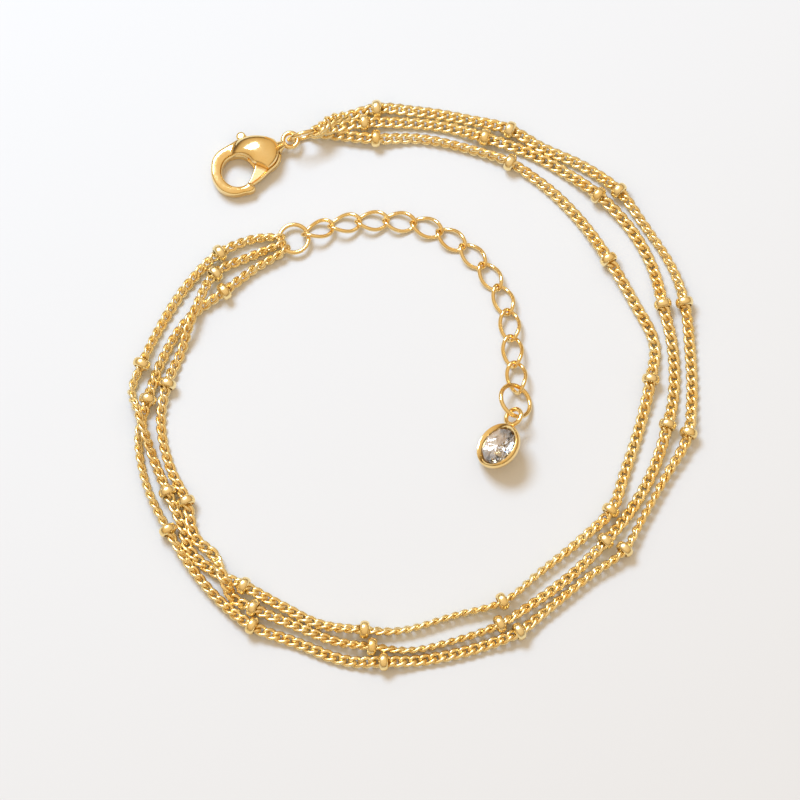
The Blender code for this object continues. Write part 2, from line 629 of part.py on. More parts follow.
window = add_cutter("window", plate_mesh("window", window_outline, -past, CLASP_THICKNESS + past), clasp_frame)
join_or_cut(body, "DIFFERENCE", window)


def turned_about_pivot(points, angle):
    """Points of the plan turned about the lever's pivot, clockwise as seen from above."""
    turn = math.radians(angle)
    moved = np.asarray(points) - pivot
    rotation = np.array([[math.cos(turn), -math.sin(turn)], [math.sin(turn), math.cos(turn)]])
    return moved @ rotation + pivot


def grown(points, margin):
    """Points moved away from their shared middle by a margin."""
    points = np.asarray(points)
    middle = points.mean(axis=0)
    away = points - middle
    return points + away / np.linalg.norm(away, axis=1)[:, None] * margin


def hull_mesh(name, points, low, high):
    """The plate whose outline is the tight outline round the points."""
    mesh = bpy.data.meshes.new(name)
    shape = bmesh.new()
    for height in (low, high):
        for x, y in points:
            shape.verts.new((x, y, height))
    hull = bmesh.ops.convex_hull(shape, input=shape.verts)
    spare = [item for item in hull["geom_interior"] + hull["geom_unused"] if isinstance(item, bmesh.types.BMVert)]
    bmesh.ops.delete(shape, geom=list(set(spare)), context="VERTS")
    bmesh.ops.recalc_face_normals(shape, faces=shape.faces)
    shape.to_mesh(mesh)
    shape.free()
    return mesh


slot_low = LEVER_BASE - LEVER_GAP
slot_high = LEVER_BASE + LEVER_THICKNESS + LEVER_GAP
pivot_pad = np.asarray(pivot) + circle_points(PIVOT_PAD / 2, 12)[:, :2]
gate_part = np.vstack([lever_outline[lever_outline[:, 1] < pivot[1] + PIVOT_PAD / 4], pivot_pad])
thumb_part = np.vstack([lever_outline[lever_outline[:, 1] > pivot[1] - PIVOT_PAD / 4], pivot_pad])
for label, group in (("gate", gate_part), ("thumb", thumb_part)):
    swept = [turned_about_pivot(group, LEVER_OPENING * share) for share in (0.0, 0.5, 1.0)]
    slot_points = grown(np.vstack(swept), LEVER_GAP * 1.5)
    slot = add_cutter("slot_" + label, hull_mesh("slot_" + label, slot_points, slot_low, slot_high), clasp_frame)
    join_or_cut(body, "DIFFERENCE", slot)

rivet_low = 0.06 * MM
rivet_high = slot_high + 0.45 * MM
rivet_bore_mesh = cylinder_mesh("rivet_bore", RIVET_DIAMETER / 2 + RIVET_CLEARANCE, -past, rivet_high + RIVET_CLEARANCE, 16)
pivot_frame = clasp_frame @ Matrix.Translation((*pivot, 0.0))
rivet_bore = add_cutter("rivet_bore", rivet_bore_mesh, pivot_frame)
join_or_cut(body, "DIFFERENCE", rivet_bore)

# Lever: gate and thumb arm in one plate with a rounded thumb tab, turning on the rivet
lever_mesh = plate_mesh("clasp_lever", lever_outline - np.asarray(pivot), LEVER_BASE, LEVER_BASE + LEVER_THICKNESS)
lever = add_part("clasp_lever", lever_mesh, BRUSHED_GOLD, pivot_frame)
tab_spot = np.asarray(bulb_point(TAB_PLACE)) - np.asarray(pivot)
tab_middle = (*tab_spot, LEVER_BASE + LEVER_THICKNESS / 2)
tab = add_cutter("tab", ball_mesh("tab", (TAB_DIAMETER / 2,) * 2 + (LEVER_THICKNESS * 0.55,), tab_middle, 12, 8),
                 pivot_frame)
join_or_cut(lever, "UNION", tab)
lever_bore = add_cutter(
    "lever_bore",
    cylinder_mesh("lever_bore", RIVET_DIAMETER / 2 + RIVET_CLEARANCE, 0.0, CLASP_THICKNESS, 16),
    pivot_frame,
)
join_or_cut(lever, "DIFFERENCE", lever_bore)
add_part("clasp_rivet", cylinder_mesh("clasp_rivet", RIVET_DIAMETER / 2, rivet_low, rivet_high, 16), POLISHED_GOLD,
         pivot_frame)
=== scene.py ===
"""Looks of a three-strand layered chain bracelet that lies unfastened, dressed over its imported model."""
import math

import bpy
import numpy as np
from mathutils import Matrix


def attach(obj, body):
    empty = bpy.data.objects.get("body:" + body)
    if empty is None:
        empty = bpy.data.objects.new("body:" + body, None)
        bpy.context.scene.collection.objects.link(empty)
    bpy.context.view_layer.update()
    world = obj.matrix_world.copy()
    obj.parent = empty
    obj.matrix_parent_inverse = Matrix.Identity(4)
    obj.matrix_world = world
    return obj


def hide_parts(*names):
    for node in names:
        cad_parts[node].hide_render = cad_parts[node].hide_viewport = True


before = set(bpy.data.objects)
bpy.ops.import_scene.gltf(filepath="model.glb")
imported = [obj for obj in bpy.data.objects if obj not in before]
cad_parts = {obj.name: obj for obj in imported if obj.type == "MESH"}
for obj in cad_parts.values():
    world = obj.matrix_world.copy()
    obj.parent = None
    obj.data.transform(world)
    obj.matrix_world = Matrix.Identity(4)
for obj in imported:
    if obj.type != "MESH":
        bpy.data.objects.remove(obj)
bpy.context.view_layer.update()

# Setting. The bracelet lies on a plain pale table top, lit by one soft box from the upper left and by a bright
# room. The camera looks down on it from 74 degrees, through a long lens.
CAMERA_ELEVATION = 74.15
CAMERA_DISTANCE = 0.470
LOOKED_AT = (-0.0013, -0.0019, 0.0)
LENS = 200.0
FLOOR_SIZE = 3.0
FLOOR_COLOUR = "#E4E6E8"
KEY_PLACE = (-0.17, 0.27, 0.42)
KEY_SIZE = (0.26, 0.15)
KEY_COLOUR = "#CBE4FF"
KEY_POWER = 2.5
# The room from the horizon upwards: how far up, from 0 to 1, and its colour
ROOM_STOPS = ((0.0, "#33241A"), (0.16, "#7A6245"), (0.40, "#C9B190"), (0.75, "#D6C2A6"), (1.0, "#DFCBB2"))
ROOM_STRENGTH = 1.2


def linear(code):
    """The linear red, green, blue and alpha of an sRGB hex colour."""
    channels = np.array([int(code[k:k + 2], 16) / 255 for k in (1, 3, 5)])
    return (*np.where(channels <= 0.04045, channels / 12.92, ((channels + 0.055) / 1.055) ** 2.4), 1.0)


def add_node(tree, kind, inputs=None, **settings):
    """A node of one kind with its settings; each input takes a constant, or a socket that it is linked to."""
    node = tree.nodes.new(kind)
    for name, value in settings.items():
        setattr(node, name, value)
    for name, value in (inputs or {}).items():
        if isinstance(value, bpy.types.NodeSocket):
            tree.links.new(value, node.inputs[name])
        else:
            node.inputs[name].default_value = value
    return node


def new_material(name):
    """A new material, its nodes and its shader."""
    material = bpy.data.materials.new(name)
    material.use_nodes = True
    return material, material.node_tree, material.node_tree.nodes["Principled BSDF"]


def set_ramp(node, stops):
    """Colour stops of a ramp node, as pairs of place and linear colour."""
    elements = node.color_ramp.elements
    while len(elements) < len(stops):
        elements.new(0.5)
    for element, (place, colour) in zip(elements, stops):
        element.position = place
        element.color = colour


def new_object(name, data):
    """An object at the origin, in the scene's own collection."""
    item = bpy.data.objects.new(name, data)
    bpy.context.scene.collection.objects.link(item)
    return item


elevation = math.radians(CAMERA_ELEVATION)
camera = new_object("camera", bpy.data.cameras.new("camera"))
camera.data.lens = LENS
camera.data.sensor_width = 36.0
camera.data.clip_start = 0.01
camera.location = (
    LOOKED_AT[0],
    LOOKED_AT[1] - CAMERA_DISTANCE * math.cos(elevation),
    LOOKED_AT[2] + CAMERA_DISTANCE * math.sin(elevation),
)
camera.rotation_euler = (math.pi / 2 - elevation, 0.0, 0.0)
bpy.context.scene.camera = camera
bpy.context.scene.view_settings.view_transform = "Standard"

floor_mesh = bpy.data.meshes.new("floor")
half_floor = FLOOR_SIZE / 2
floor_corners = np.array([(-1, -1, 0), (1, -1, 0), (1, 1, 0), (-1, 1, 0)]) * half_floor
floor_mesh.from_pydata(floor_corners, [], [(0, 1, 2, 3)])
floor = new_object("floor", floor_mesh)
# Matt lacquered table top: pale and even with hardly any shine, so that only the soft shadows show on it
floor_paint, _, floor_shader = new_material("matt_table_top")
floor_shader.inputs["Base Color"].default_value = linear(FLOOR_COLOUR)
floor_shader.inputs["Roughness"].default_value = 0.7
floor_shader.inputs["Specular IOR Level"].default_value = 0.2
floor_mesh.materials.append(floor_paint)

key = new_object("key_light", bpy.data.lights.new("key_light", "AREA"))
key.data.shape = "RECTANGLE"
key.data.size, key.data.size_y = KEY_SIZE
key.data.energy = KEY_POWER
key.data.color = linear(KEY_COLOUR)[:3]
key.location = KEY_PLACE
key.rotation_mode = "QUATERNION"
key.rotation_quaternion = key.location.to_track_quat("Z", "Y")

room = bpy.data.worlds.new("bright_room")
room.use_nodes = True
room.node_tree.nodes.clear()
room_place = add_node(room.node_tree, "ShaderNodeTexCoord")
room_split = add_node(room.node_tree, "ShaderNodeSeparateXYZ", {"Vector": room_place.outputs["Generated"]})
room_ramp = add_node(room.node_tree, "ShaderNodeValToRGB", {"Fac": room_split.outputs["Z"]})
set_ramp(room_ramp, [(place, linear(code)) for place, code in ROOM_STOPS])
room_light = add_node(room.node_tree, "ShaderNodeBackground", {
    "Color": room_ramp.outputs["Color"], "Strength": ROOM_STRENGTH,
})
add_node(room.node_tree, "ShaderNodeOutputWorld", {"Surface": room_light.outputs["Background"]})
bpy.context.scene.world = room

# Strands. Three fine curb chains of soldered brass links, each link twisted so that it lies flat in the next,
# then gold plated and tumbled in one length. The last links hold the two jump rings.
MM = 0.001
CHAIN_LINK_LENGTH = 2.04 * MM
CHAIN_LINK_WIDTH = 1.34 * MM
CHAIN_WIRE = 0.44 * MM
CHAIN_WIRE_FLATNESS = 0.81
CHAIN_TWIST = -56.0
CHAIN_PITCH = 1.05 * MM
CHAIN_LINK_POINTS = 16
CHAIN_WIRE_SIDES = 6
# How high the chain's middle is on the table (half of the tube that it takes up), in a bead, over another strand,
# and in its fall from the clasp's ring; over the lift's fade it comes off the table
TUBE_DIAMETER = 0.86 * MM
BEAD_HEIGHT = 0.91 * MM
CROSSING_HEIGHT = 1.49 * MM
FALL_HEIGHT = 1.85 * MM
LIFT_FADE = 0.4 * MM
RING_DIAMETER = 3.6 * MM
RING_WIRE = 0.48 * MM
# A route starts and ends this far outside a ring's wire, and the last link has this much play on it
STRAND_HOLD = 0.352 * MM
LINK_PLAY = 0.03 * MM
# A ring counts as lying flat when its normal points upwards by more than this share
FLAT_RING = 0.95
# Where on its ring each strand starts and ends, in degrees from the ring's level axis towards its upward one
START_ANGLES = {"outer": 31.0, "middle": -2.0, "inner": -32.0}
END_ANGLES = {"outer": 232.0, "middle": 204.0, "inner": 176.0}
ROUTE_STEPS = 16
# The plate's deeper and lighter tint on cast and bent parts, and on the chain, and how wide a patch of either is
CAST_GOLD = ("#F9D488", "#FFE4A6")
CHAIN_GOLD = ("#FFDE92", "#FFEBB4")
TINT_PATCH = 2.5 * MM
# Routes on the table, in millimetres: r is bare chain, b a bead, o a crossing over another strand, f the fall
ROUTES = {
    "outer": (
        ("f", -8.8, 28.75), ("r", -6.6, 29.75), ("b", -3.8, 30.4), ("r", 0.4, 30.2), ("r", 6.2, 29.2),
        ("b", 10.5, 28.0), ("r", 13.9, 26.1), ("r", 19.1, 23.5), ("b", 22.1, 21.1), ("r", 24.6, 17.6),
        ("r", 28.1, 11.5), ("b", 28.9, 8.6), ("r", 29.42, 3.9), ("r", 29.5, -2.6), ("b", 29.1, -5.8),
        ("r", 26.5, -10.7), ("r", 23.9, -15.4), ("b", 22.2, -18.4), ("r", 18.6, -21.1), ("r", 13.2, -25.5),
        ("b", 11.1, -27.2), ("r", 7.5, -28.6), ("r", 1.2, -30.1), ("b", -3.0, -30.4), ("r", -6.3, -30.3),
        ("r", -12.6, -28.1), ("b", -16.7, -26.6), ("r", -19.8, -24.1), ("r", -23.6, -19.6), ("b", -25.6, -16.3),
        ("r", -28.1, -10.8), ("r", -28.8, -6.2), ("b", -27.9, -2.1), ("r", -26.6, 2.0), ("r", -23.6, 7.0),
        ("b", -20.0, 9.8), ("r", -16.8, 12.4),
    ),
    "middle": (
        ("b", -5.2, 28.8), ("r", -0.9, 28.9), ("r", 4.5, 28.2), ("b", 7.8, 27.1), ("r", 11.4, 26.0),
        ("r", 16.2, 23.4), ("b", 19.9, 20.6), ("r", 23.0, 17.4), ("r", 25.6, 12.6), ("b", 26.6, 8.4),
        ("r", 27.6, 3.7), ("r", 27.5, -2.3), ("b", 26.9, -4.9), ("r", 25.2, -10.0), ("r", 22.6, -14.5),
        ("b", 20.2, -17.5), ("r", 17.0, -20.7), ("r", 12.0, -24.5), ("b", 9.1, -26.4), ("r", 5.3, -27.8),
        ("r", -0.3, -29.1), ("b", -4.2, -28.8), ("r", -7.8, -28.2), ("r", -12.6, -26.3), ("b", -16.6, -24.7),
        ("r", -18.7, -23.5), ("o", -19.5, -22.0), ("o", -20.2, -20.5), ("r", -20.7, -19.0), ("r", -22.6, -17.2),
        ("b", -23.7, -13.2), ("r", -25.4, -9.6), ("r", -26.5, -4.4), ("b", -25.9, -0.4), ("r", -24.4, 3.4),
        ("o", -23.7, 5.6), ("o", -22.8, 8.2), ("b", -21.0, 11.8), ("r", -17.0, 13.9),
    ),
    "inner": (
        ("b", -3.9, 27.0), ("r", 0.4, 27.1), ("r", 6.4, 25.8), ("b", 10.5, 24.3), ("r", 13.5, 22.3),
        ("r", 18.0, 17.8), ("b", 20.9, 13.4), ("r", 23.5, 8.9), ("r", 25.7, 3.8), ("b", 25.2, 0.1),
        ("r", 24.1, -4.6), ("r", 22.3, -10.1), ("b", 20.8, -14.2), ("r", 17.7, -17.2), ("r", 13.3, -20.8),
        ("b", 9.4, -24.0), ("r", 4.5, -25.4), ("r", -2.2, -27.1), ("b", -5.0, -27.0), ("r", -9.7, -26.3),
        ("r", -13.6, -24.4), ("b", -17.6, -22.3), ("r", -20.4, -20.9), ("r", -23.4, -18.2), ("r", -24.1, -15.9),
        ("b", -25.7, -12.2), ("r", -27.2, -8.6), ("o", -28.1, -6.0), ("o", -28.9, -3.6), ("r", -29.6, -1.3),
        ("b", -28.6, 1.8), ("r", -26.6, 6.2), ("r", -23.9, 10.6), ("b", -20.5, 14.1), ("r", -17.1, 15.7),
    ),
}
# How far the flat side of each chain is rolled over at its start, its beads, its end and half way between, in degrees
ROLLS = {
    "outer": (0, 20, 30, 20, 10, 30, 40, 75, 40, 0, 20, 70, 60, 55, 20, 10, 0, 0, 10, 40, 60, 70, 40, 60, 60, 70, 90),
    "middle": (0, 10, 20, 30, 10, 20, 0, 0, 0, 0, 0, 0, 20, 30, 60, 85, 60, 30, 20, 10, 30, 50, 40, 60, 60, 70, 90),
    "inner": (0, 20, 30, 70, 60, 30, 0, 0, 0, 0, 20, 60, 85, 80, 50, 30, 10, 20, 40, 60, 70, 50, 60, 70, 90),
}


def make_metal(name, roughness, polish_size, polish_depth, colours):
    """Gold plate: its colour drifts between two, and its roughness and a fine bump come from the polishing."""
    metal, tree, shader = new_material(name)
    shader.inputs["Metallic"].default_value = 1.0
    place = add_node(tree, "ShaderNodeTexCoord").outputs["Object"]
    drift = add_node(tree, "ShaderNodeTexNoise", {"Vector": place, "Scale": 1 / TINT_PATCH, "Detail": 3.0})
    tint = add_node(tree, "ShaderNodeValToRGB", {"Fac": drift.outputs["Fac"]})
    set_ramp(tint, [(0.3, linear(colours[0])), (0.7, linear(colours[1]))])
    tree.links.new(tint.outputs["Color"], shader.inputs["Base Color"])
    rub = add_node(tree, "ShaderNodeTexNoise", {"Vector": place, "Scale": 1 / polish_size, "Detail": 4.0})
    spread = add_node(tree, "ShaderNodeMapRange", {
        "Value": rub.outputs["Fac"], "From Min": 0.3, "From Max": 0.7,
        "To Min": roughness * 0.75, "To Max": roughness * 1.35,
    })
    tree.links.new(spread.outputs["Result"], shader.inputs["Roughness"])
    bump = add_node(tree, "ShaderNodeBump", {
        "Height": rub.outputs["Fac"], "Distance": polish_depth, "Strength": 0.6,
    })
    tree.links.new(bump.outputs["Normal"], shader.inputs["Normal"])
    return metal


# Gold plate on brass, barrel polished: a bright mirror, very slightly rippled, so highlights have soft edges
polished_gold = make_metal("barrel_polished_gold_plate", 0.13, 0.35 * MM, 0.003 * MM, CAST_GOLD)
# The fine chain and its beads are only tumbled, which leaves them a little softer: their highlights are broader
tumbled_gold = make_metal("tumbled_gold_plate", 0.27, 0.2 * MM, 0.003 * MM, CHAIN_GOLD)


def smooth_curve(rows, steps):
    """A cubic through rows of numbers, with some steps in each span.

    The slope at each row is the mean of its two chords, each weighted by the other's length.
    """
    rows = np.asarray(rows, float)
    spans = np.linalg.norm(np.diff(rows, axis=0), axis=1)[:, None]
    chords = np.diff(rows, axis=0) / spans
    slopes = np.vstack([
        chords[:1], (chords[1:] * spans[:-1] + chords[:-1] * spans[1:]) / (spans[:-1] + spans[1:]), chords[-1:],
    ])
    t = np.linspace(0.0, 1.0, steps, endpoint=False)[None, :, None]
    start, end, reach = rows[:-1, None], rows[1:, None], spans[:, None]
    curve = (
        (2 * t**3 - 3 * t**2 + 1) * start + (t**3 - 2 * t**2 + t) * reach * slopes[:-1, None]
        + (3 * t**2 - 2 * t**3) * end + (t**3 - t**2) * reach * slopes[1:, None]
    )
    return np.vstack([curve.reshape(-1, rows.shape[1]), rows[-1:]])


def length_along(line):
    """Distance along a line of points, from its start."""
    return np.concatenate([[0.0], np.cumsum(np.linalg.norm(np.diff(line, axis=0), axis=1))])


def at_length(line, lengths, where):
    """Points of a line at given distances from its start."""
    return np.column_stack([np.interp(where, lengths, line[:, k]) for k in range(line.shape[1])])


def unit(vectors):
    """Vectors brought to a length of one."""
    vectors = np.asarray(vectors, float)
    return vectors / np.linalg.norm(vectors, axis=-1, keepdims=True)


def wire_rings(path, radius, sides, outward, closed=True, flatness=1.0):
    """Rings of points round a line: at each point, the outward direction and the wire's direction give the circle.

    The flatness is the wire's thickness across the outward direction, as a share of its width along it.
    """
    if closed:
        along = unit(np.roll(path, -1, axis=0) - np.roll(path, 1, axis=0))
    else:
        along = unit(np.gradient(path, axis=0))
    across = unit(outward - (outward * along).sum(axis=1, keepdims=True) * along)
    third = np.cross(along, across) * flatness
    turn = np.arange(sides) * 2 * math.pi / sides
    radius = np.broadcast_to(np.asarray(radius, float), len(path))[:, None, None]
    circle = np.cos(turn)[None, :, None] * across[:, None] + np.sin(turn)[None, :, None] * third[:, None]
    return path[:, None] + radius * circle


def placed(rings, middles, axes):
    """Copies of a shape, each turned to its three axes, which are rows, and moved to its middle.

    A copy that would reach below the table is lifted onto it.
    """
    copies = np.asarray(middles)[:, None, None] + np.einsum("nmj,kji->knmi", rings, np.asarray(axes))
    copies[..., 2] += np.maximum(0.0, -copies[..., 2].min(axis=(1, 2)))[:, None, None]
    return copies


def add_shape(shapes, rings, wrap):
    """Adds closed solids to a list: quads join each ring to the next, and the ends meet or get a flat face each."""
    rings = rings if rings.ndim == 4 else rings[None]
    count, along, sides, _ = rings.shape
    first = sum(len(points) for points, _ in shapes)
    number = np.arange(count * along * sides).reshape(count, along, sides) + first
    beside = np.roll(number, -1, axis=2)
    if wrap:
        corners = (number, beside, np.roll(beside, -1, axis=1), np.roll(number, -1, axis=1))
    else:
        corners = (number[:, :-1], beside[:, :-1], beside[:, 1:], number[:, 1:])
    faces = np.stack(corners, axis=-1).reshape(-1, 4).tolist()
    if not wrap:
        faces += number[:, 0, ::-1].tolist() + number[:, -1].tolist()
    shapes.append((rings.reshape(-1, 3), faces))


def make_piece(name, shapes, material, body, nodes, sharp=40.0):
    """One finished piece of the bracelet from its solids: it rides on a body and stands for CAD nodes."""
    mesh = bpy.data.meshes.new(name)
    mesh.from_pydata(np.vstack([points for points, _ in shapes]), [], [face for _, faces in shapes for face in faces])
    mesh.materials.append(material)
    mesh.shade_smooth()
    mesh.set_sharp_from_angle(angle=math.radians(sharp))
    piece = new_object(name, mesh)
    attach(piece, body)
    if nodes:
        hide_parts(*nodes)
    return piece


def node_points(name):
    """The corners of a CAD node's mesh."""
    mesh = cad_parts[name].data
    points = np.empty(len(mesh.vertices) * 3)
    mesh.vertices.foreach_get("co", points)
    return points.reshape(-1, 3)


def node_frame(name):
    """A node's middle and its own axes as rows, the longest first and the thinnest last and upwards."""
    points = node_points(name)
    _, _, axes = np.linalg.svd(points - points.mean(axis=0), full_matrices=False)
    axes = axes * np.sign([[axes[0, 0] or 1.0], [1.0], [axes[2, 2] or 1.0]])
    axes[1] = np.cross(axes[2], axes[0])
    reach = (points - points.mean(axis=0)) @ axes.T
    return points.mean(axis=0) + (reach.min(axis=0) + reach.max(axis=0)) / 2 @ axes, axes


def ring_frame(name):
    """A jump ring's middle, and its axes: one level, one upwards in the ring's plane, and its normal."""
    middle, axes = node_frame(name)
    flat = abs(axes[2][2]) >= FLAT_RING
    level = np.array([1.0, 0.0, 0.0]) if flat else np.cross((0.0, 0.0, 1.0), axes[2])
    level = unit(level - (level @ axes[2]) * axes[2])
    level = level * np.sign(level[0])
    upward = np.cross(axes[2], level)
    if upward[2] < 0 or flat and upward[1] < 0:
        upward = -upward
    return middle, level, upward


def twisted_link(length, width, wire, twist, points, sides, flatness=1.0):
    """A link of wire: an oval whose plane turns with the cosine of the way round, so its two ends lie crosswise."""
    turn = np.arange(points) * 2 * math.pi / points
    plane = math.radians(twist) * np.cos(turn)
    across = (width - wire) / 2 * np.sin(turn)
    oval = np.column_stack([(length - wire) / 2 * np.cos(turn), across * np.cos(plane), across * np.sin(plane)])
    return wire_rings(oval, wire / 2, sides, oval, flatness=flatness)


def strand_line(name):
    """The smooth line from ring to ring through a route's rows, and the place of each bead in it."""
    height = {"r": TUBE_DIAMETER / 2, "b": BEAD_HEIGHT, "o": CROSSING_HEIGHT, "f": FALL_HEIGHT}
    hold = RING_WIRE / 2 + STRAND_HOLD
    ends = []
    for node, angle in (("clasp_ring", START_ANGLES[name]), ("end_ring", END_ANGLES[name])):
        middle, level, upward = ring_frame(node)
        outward = level * math.cos(math.radians(angle)) + upward * math.sin(math.radians(angle))
        ends.append((middle + outward * (RING_DIAMETER - RING_WIRE) / 2, outward))
    rows = [ends[0][0] + ends[0][1] * hold]
    rows += [(x * MM, y * MM, height[kind]) for kind, x, y in ROUTES[name]]
    rows.append(ends[1][0] + ends[1][1] * hold)
    line = smooth_curve(rows, ROUTE_STEPS)
    line[:, 2] = np.maximum(line[:, 2], TUBE_DIAMETER / 2)
    beads = [ROUTE_STEPS * (k + 1) for k, row in enumerate(ROUTES[name]) if row[0] == "b"]
    inner = (CHAIN_LINK_LENGTH - CHAIN_WIRE) / 2 - (RING_WIRE + CHAIN_WIRE) / 2 - LINK_PLAY
    line = np.vstack([ends[0][0] + ends[0][1] * inner, line, ends[1][0] + ends[1][1] * inner])
    return line, [index + 1 for index in beads]


def build_strand(name):
    """A strand's links: evenly spaced on its line, each turned to the line and rolled about it.

    A link on the table stands as high as half its own thickness at its roll, so that it just touches the table.
    """
    line, beads = strand_line(name)
    lengths = length_along(line)
    count = round(lengths[-1] / CHAIN_PITCH)
    where = np.linspace(0.0, lengths[-1], count + 1)
    middles = at_length(line, lengths, where)
    ahead = at_length(line, lengths, np.minimum(where + CHAIN_PITCH / 2, lengths[-1]))
    behind = at_length(line, lengths, np.maximum(where - CHAIN_PITCH / 2, 0.0))
    along = unit(ahead - behind)
    side = unit(np.cross((0.0, 0.0, 1.0), along))
    upward = np.cross(along, side)
    stops = np.array([0.0, *lengths[beads], lengths[-1]])
    stops = np.sort(np.concatenate([stops, (stops[1:] + stops[:-1]) / 2]))
    roll = np.radians(np.interp(where, stops, ROLLS[name]))[:, None]
    across = side * np.cos(roll) + upward * np.sin(roll)
    axes = np.stack([along, across, np.cross(along, across)], axis=1)
    link = twisted_link(
        CHAIN_LINK_LENGTH, CHAIN_LINK_WIDTH, CHAIN_WIRE, CHAIN_TWIST,
        CHAIN_LINK_POINTS, CHAIN_WIRE_SIDES, CHAIN_WIRE_FLATNESS,
    )
    corners = link.reshape(-1, 3)
    reach = -(corners[None, :, 1] * np.sin(roll) + corners[None, :, 2] * np.cos(roll)).min(axis=1)
    lifted = np.clip((middles[:, 2] - TUBE_DIAMETER / 2) / LIFT_FADE, 0.0, 1.0)
    middles[:, 2] += (reach - TUBE_DIAMETER / 2) * (1.0 - lifted)
    shapes = []
    add_shape(shapes, placed(link, middles, axes), wrap=True)
    return make_piece("curb_chain_" + name, shapes, tumbled_gold, "bracelet", ["strand_" + name], sharp=80.0)


for strand in ROUTES:
    build_strand(strand)

# Beads. Small rondelles turned from brass tube and rolled to a rounded belly, threaded on the chain and plated
# with it. Their turned ends keep a fine lip round the hole.
BEAD_DIAMETER = 1.92 * MM
BEAD_LENGTH = 0.94 * MM
BEAD_HOLE = 1.32 * MM
BEAD_TURNS = 28
# How full the belly's oval is: its foot on the hole's wall as a share of the wall, and the power of its cosine
BEAD_FOOT = 0.12
BEAD_POWER = 0.75


def round_the_axis(count):
    """Unit vectors evenly spread round the Z axis, one a row."""
    turn = np.arange(count) * 2 * math.pi / count
    return np.stack([np.cos(turn), np.sin(turn), np.zeros(count)], axis=1)


def bead_rings():
    """A rondelle about the Z axis: its belly is a flattened half oval, with a rounded lip and a hole."""
    belly = np.radians(np.array([78.0, 60.0, 40.0, 20.0, 0.0, -20.0, -40.0, -60.0, -78.0]))
    hole, wall = BEAD_HOLE / 2, (BEAD_DIAMETER - BEAD_HOLE) / 2
    radius = hole + wall * np.concatenate([
        [0.0, 0.18], BEAD_FOOT + (1 - BEAD_FOOT) * np.cos(belly) ** BEAD_POWER, [0.18, 0.0, 0.0, 0.0],
    ])
    height = BEAD_LENGTH / 2 * np.concatenate([
        [0.94, 1.0], np.sin(belly) * 0.93, [-1.0, -0.94, -0.3, 0.3],
    ])
    outward = round_the_axis(BEAD_TURNS)[:, None] * radius[None, :, None]
    return outward + np.array([0.0, 0.0, 1.0]) * height[None, :, None]


for strand in ROUTES:
    nodes = sorted(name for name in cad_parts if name.startswith("bead_" + strand))
    frames = [node_frame(name) for name in nodes]
    shapes = []
    add_shape(shapes, placed(bead_rings(), [middle for middle, _ in frames], [axes for _, axes in frames]), wrap=True)
    make_piece("rondelle_beads_" + strand, shapes, tumbled_gold, "bracelet", nodes, sharp=50.0)

# Jump rings. Each is one turn of round brass wire, cut off its coil with shears, so its two ends show a fine
# line where they were pressed together. The clasp's stands on edge, and the end ring lies flat.
DROP_RING_DIAMETER = 4.1 * MM
# The gap between a ring's ends in degrees, how far each end is drawn out and how thick it is there
RING_CUT = 4.0
RING_END_REACH = 0.03 * MM
RING_END_RADIUS = RING_WIRE * 0.42
RING_POINTS = 72
RING_SIDES = 14


def build_ring(name, node, diameter, cut_towards):
    """A circle of wire that starts and stops at its cut, where the wire's ends are slightly rounded."""
    middle, axes = node_frame(node)
    cut = np.asarray(cut_towards, float)
    cut = unit(cut - (cut @ axes[2]) * axes[2])
    other = np.cross(axes[2], cut)
    turn = np.radians(np.linspace(RING_CUT / 2, 360.0 - RING_CUT / 2, RING_POINTS))[:, None]
    radial = np.cos(turn) * cut + np.sin(turn) * other
    thickness = np.full(RING_POINTS, RING_WIRE / 2)
    radial = np.vstack([radial[:1], radial, radial[-1:]])
    thickness = np.concatenate([[RING_END_RADIUS], thickness, [RING_END_RADIUS]])
    path = middle + radial * (diameter - RING_WIRE) / 2
    path[0] -= other * RING_END_REACH
    path[-1] += other * RING_END_REACH
    shapes = []
    add_shape(shapes, wire_rings(path, thickness, RING_SIDES, radial, closed=False), wrap=False)
    return make_piece(name, shapes, polished_gold, "bracelet", [node])


build_ring("clasp_jump_ring", "clasp_ring", RING_DIAMETER, (-0.09, -0.19, 0.98))
build_ring("end_jump_ring", "end_ring", RING_DIAMETER, (0.62, -0.79, 0.0))
build_ring("drop_jump_ring", "drop_ring", DROP_RING_DIAMETER, (-0.78, 0.49, 0.38))

# Extender. Twelve open oval links of round brass wire, closed by a butt joint and twisted by a quarter turn in
# all, so that the row lies flat while each link stands crosswise in the next.
LINK_LENGTH = 3.86 * MM
LINK_WIDTH = 2.46 * MM
LINK_WIRE = 0.43 * MM
LINK_TWIST = 45.0
LINK_POINTS = 48
LINK_SIDES = 12

link_nodes = sorted(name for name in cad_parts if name.startswith("extender_link"))
link_frames = [node_frame(name) for name in link_nodes]
link = twisted_link(LINK_LENGTH, LINK_WIDTH, LINK_WIRE, LINK_TWIST, LINK_POINTS, LINK_SIDES)
shapes = []
add_shape(shapes, placed(link, [middle for middle, _ in link_frames], [axes for _, axes in link_frames]), wrap=True)
make_piece("extender_chain", shapes, polished_gold, "bracelet", link_nodes, sharp=80.0)

# Clasp body. A lobster clasp cast in brass in one piece with its hook and its eye, tumbled to a mirror and gold
# plated. Its bulb is a hollow shell over the lever, and its hook is a flat band with rounded edges.
CLASP_PLACE = (-18.63 * MM, 23.23 * MM)
CLASP_TURN = 32.3
